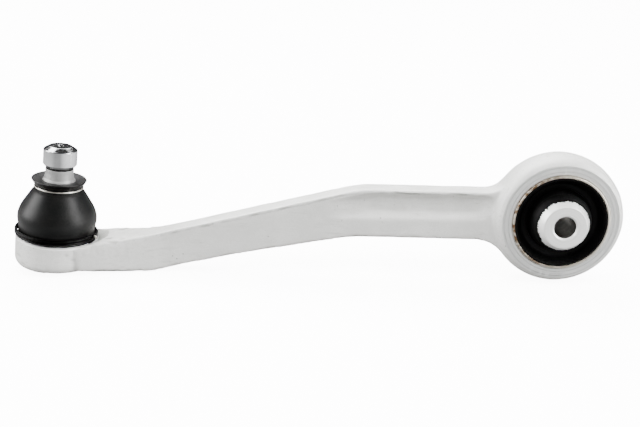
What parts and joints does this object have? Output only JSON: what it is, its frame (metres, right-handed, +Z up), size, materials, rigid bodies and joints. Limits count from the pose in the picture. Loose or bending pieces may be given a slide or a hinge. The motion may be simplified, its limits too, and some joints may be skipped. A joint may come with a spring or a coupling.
{
  "type": "control arm",
  "caption": "Forged aluminium suspension control arm with a pinch-bolt ball joint at one end and a rubber-to-metal bush at the other.",
  "frame": {"origin": "middle of the bush bore, on the bush axis", "axes": "+Y along the bush axis, +Z up, the ball joint lies towards -X"},
  "size_m": [0.2972, 0.0462, 0.0635],
  "materials": {
    "forged_aluminium": "shot-blasted forging skin, turned faces at the eye",
    "outer_sleeve": "satin sleeve rim with a tint of bonding agent",
    "bush_rubber": "moulded natural rubber, satin",
    "inner_sleeve": "turned, bright",
    "stud_steel": "ground and plated steel",
    "bearing_plastic": "moulded acetal, natural white",
    "plate_steel": "zinc-plated pressed steel",
    "boot_rubber": "moulded chloroprene, satin",
    "bright_wire": "bright drawn spring wire",
    "black_wire": "black phosphated spring wire"
  },
  "bodies": {
    "arm": {"forged_arm": "forged_aluminium", "bush_outer_sleeve": "outer_sleeve", "bush_rubber": "bush_rubber", "upper_bearing_shell": "bearing_plastic", "lower_bearing_shell": "bearing_plastic", "closing_plate": "plate_steel", "boot_base_ring": "black_wire"},
    "bush_sleeve": {"bush_inner_sleeve": "inner_sleeve"},
    "boot_skirt": {"dust_boot": "boot_rubber"},
    "boot_mouth": {"boot_top_ring": "bright_wire"},
    "stud": {"ball_stud": "stud_steel"}
  },
  "joints": [
    {"name": "bush_twist", "type": "hinge", "parent": "arm", "child": "bush_sleeve", "pos_m": [0, 0, 0], "axis": [0, 1, 0], "range_deg": [-25, 25], "stiffness_Nm_per_rad": 60},
    {"name": "stud_swing", "type": "hinge", "parent": "arm", "child": "boot_skirt", "pos_m": [-0.2451, 0.00813, -0.0145], "axis": [0.0332, 0.9995, 0], "range_deg": [-25, 25], "deforming": ["dust_boot"]},
    {"name": "stud_rock", "type": "hinge", "parent": "boot_skirt", "child": "boot_mouth", "pos_m": [-0.2451, 0.00813, -0.0145], "axis": [0.992, -0.0329, -0.1219], "range_deg": [-18, 18], "deforming": ["dust_boot"]},
    {"name": "stud_spin", "type": "hinge", "parent": "boot_mouth", "child": "stud", "pos_m": [-0.2451, 0.00813, -0.0145], "axis": [0.1218, -0.004, 0.9925], "continuous": true}
  ]
}
